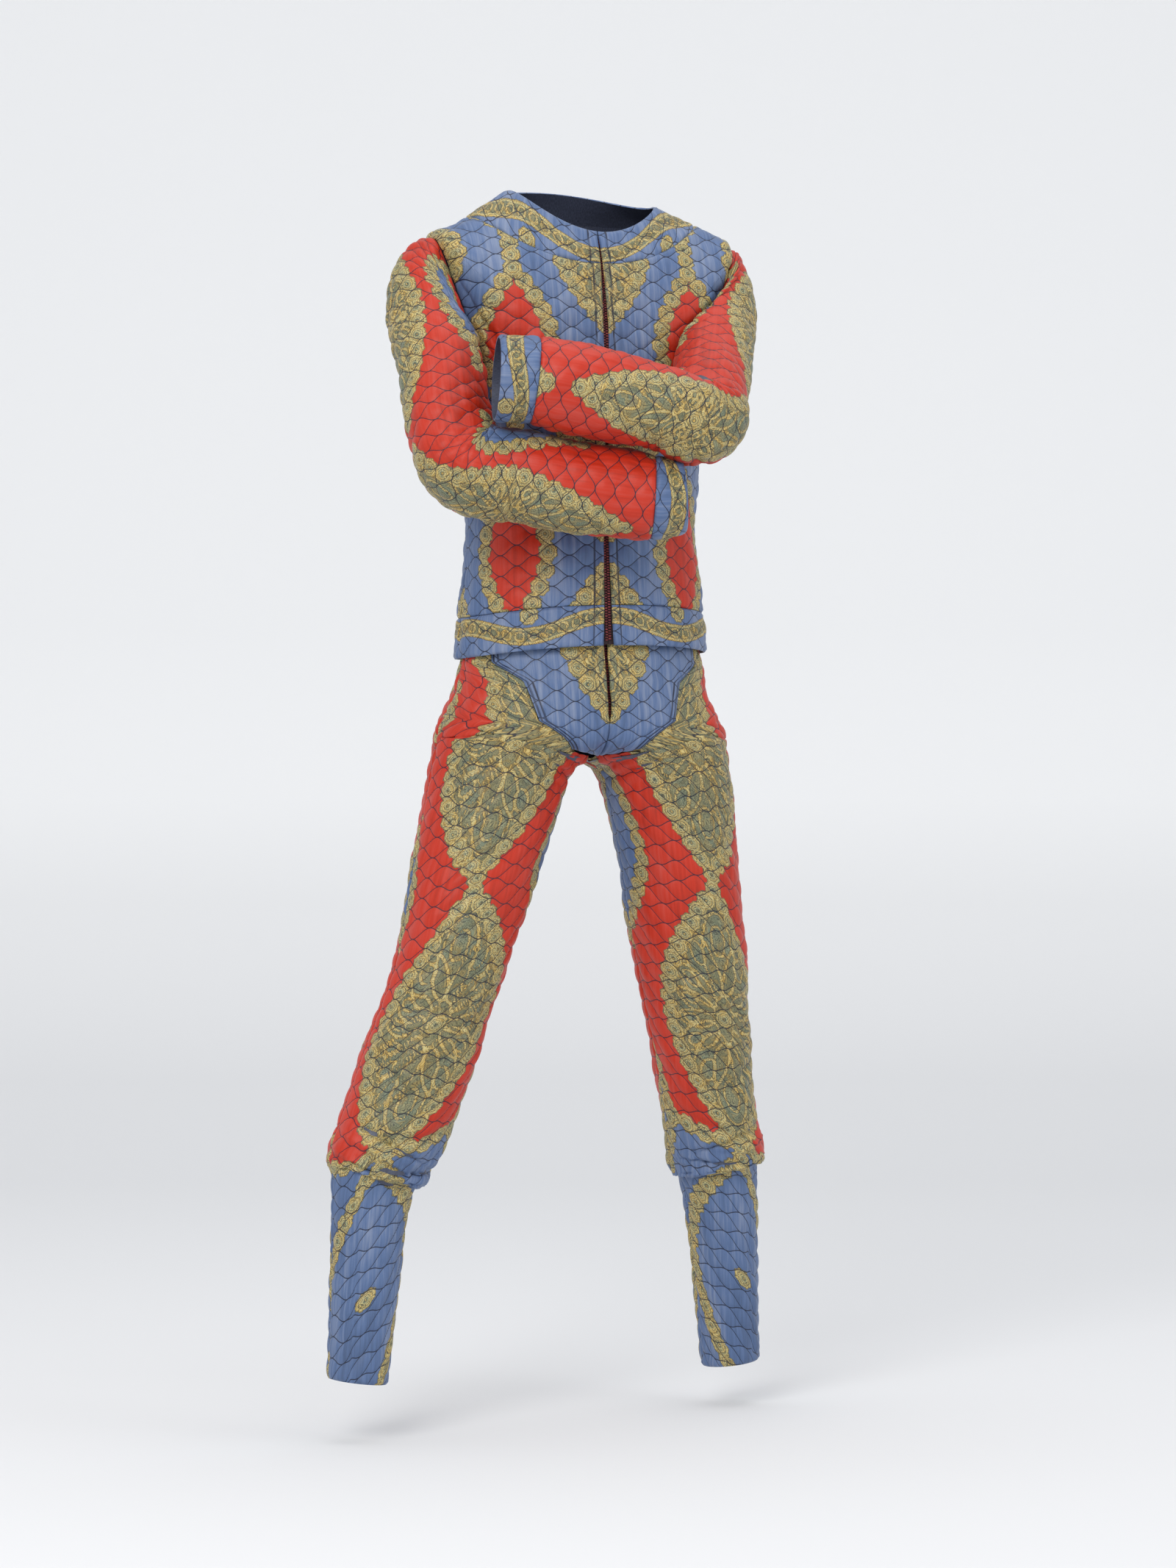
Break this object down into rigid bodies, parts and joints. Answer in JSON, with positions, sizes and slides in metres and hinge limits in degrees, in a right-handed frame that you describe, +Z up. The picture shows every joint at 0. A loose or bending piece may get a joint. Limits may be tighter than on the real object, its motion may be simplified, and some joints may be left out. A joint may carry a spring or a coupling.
{
  "type": "quilted suit",
  "caption": "Quilted two-piece suit: collarless zip jacket with crossed sleeves over slim trousers, hollow and in its worn pose, patterned red, blue and gold cloth",
  "frame": {"origin": "Middle of the shoulder line, between the two shoulder tips and at their height, where the jacket hangs on its wearer", "axes": "+Z up, the front of the garment faces -Y, the wearer's left is +X; lengths in metres"},
  "size_m": [0.5632, 0.3973, 1.3727],
  "materials": {
    "blue_cloth": "quilted satin-weave cotton, printed",
    "red_cloth": "quilted satin-weave cotton, printed",
    "olive_cloth": "quilted satin-weave cotton, printed",
    "zip_tape": "woven zip tape"
  },
  "bodies": {
    "root": {"jacket_front_left": "blue_cloth", "jacket_front_right": "blue_cloth", "jacket_back": "blue_cloth", "hem_band_left": "blue_cloth", "hem_band_right": "blue_cloth", "hem_band_back": "blue_cloth", "neck_band_left": "blue_cloth", "neck_band_right": "blue_cloth", "neck_band_back": "blue_cloth", "sleeve_left": "red_cloth", "sleeve_right": "red_cloth", "cuff_left": "blue_cloth", "cuff_right": "blue_cloth", "trouser_front_left": "olive_cloth", "trouser_front_right": "olive_cloth", "trouser_back_left": "olive_cloth", "trouser_back_right": "olive_cloth", "front_yoke_left": "blue_cloth", "front_yoke_right": "blue_cloth", "jacket_zip_left": "zip_tape", "jacket_zip_right": "zip_tape", "fly_zip": "zip_tape"}
  },
  "joints": []
}
